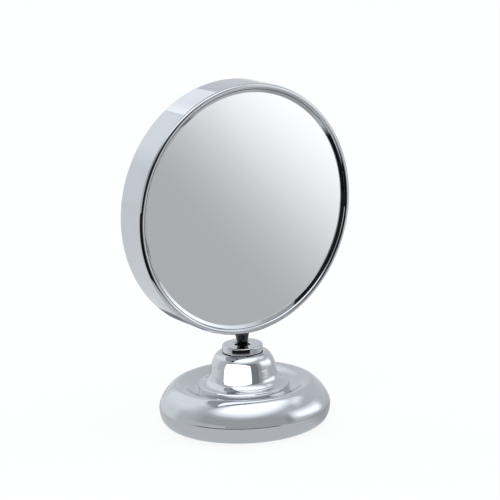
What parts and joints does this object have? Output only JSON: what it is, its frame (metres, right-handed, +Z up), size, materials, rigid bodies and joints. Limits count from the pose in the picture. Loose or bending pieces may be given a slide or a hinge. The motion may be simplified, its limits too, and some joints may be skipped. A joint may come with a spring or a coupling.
{
  "type": "extendable shaving mirror",
  "caption": "Round two-sided table mirror on a ball joint and a telescopic mast that slides down inside a bell on a heavy round foot.",
  "frame": {"origin": "on the table, on the mast's axis, under the middle of the foot", "axes": "+Z up along the mast, the shaving glass faces -Y, +X to the right of someone looking at that glass from the front"},
  "size_m": [0.1612, 0.1104, 0.2227],
  "materials": {
    "polished_chrome": "mirror-polished chrome plate",
    "bezel_chrome": "polished chrome plate, slightly darker",
    "mast_chrome": "drawn tube, chrome plated, faint draw lines",
    "dark_chrome": "black chrome plate",
    "mirror_glass": "silvered glass",
    "foam": "closed-cell foam",
    "moulded_white": "moulded, fine grain",
    "nylon": "turned nylon",
    "turned_brass": "turned, bare",
    "zinc_steel": "zinc plated",
    "raw_iron": "rough cast, painted",
    "black_rubber": "matt, moulded"
  },
  "bodies": {
    "foot": {"foot_shell": "polished_chrome", "bell": "polished_chrome", "ballast": "raw_iron", "base_plate": "zinc_steel", "foot_pad": "black_rubber", "outer_tube": "turned_brass", "outer_collar": "nylon", "mast_nut": "zinc_steel", "mast_washer": "zinc_steel", "plate_screws": "zinc_steel"},
    "middle_stage": {"middle_tube": "mast_chrome", "middle_slipper": "nylon", "middle_collar": "nylon"},
    "inner_stage": {"inner_tube": "mast_chrome", "inner_slipper": "nylon", "cap": "polished_chrome", "seat_spring": "zinc_steel"},
    "ball_seats": {"upper_seat": "nylon", "lower_seat": "nylon"},
    "head": {"rim_band": "polished_chrome", "front_bezel": "bezel_chrome", "back_bezel": "bezel_chrome", "front_glass": "mirror_glass", "back_glass": "mirror_glass", "front_pad": "foam", "back_pad": "foam", "core_disc": "moulded_white", "spacer_ring": "moulded_white", "neck_block": "turned_brass", "block_screws": "zinc_steel", "neck": "dark_chrome", "neck_washer": "nylon"}
  },
  "joints": [
    {"name": "middle_slide", "type": "slide", "parent": "foot", "child": "middle_stage", "axis": [0, 0, 1], "range_m": [0, 0.0255]},
    {"name": "inner_slide", "type": "slide", "parent": "middle_stage", "child": "inner_stage", "axis": [0, 0, 1], "range_m": [0, 0.026]},
    {"name": "head_swivel", "type": "hinge", "parent": "inner_stage", "child": "ball_seats", "pos_m": [0, 0, 0.0446], "axis": [0, 0, 1], "continuous": true},
    {"name": "head_tilt", "type": "hinge", "parent": "ball_seats", "child": "head", "pos_m": [0, 0, 0.0446], "axis": [1, 0, 0], "range_deg": [-15, 15]}
  ]
}
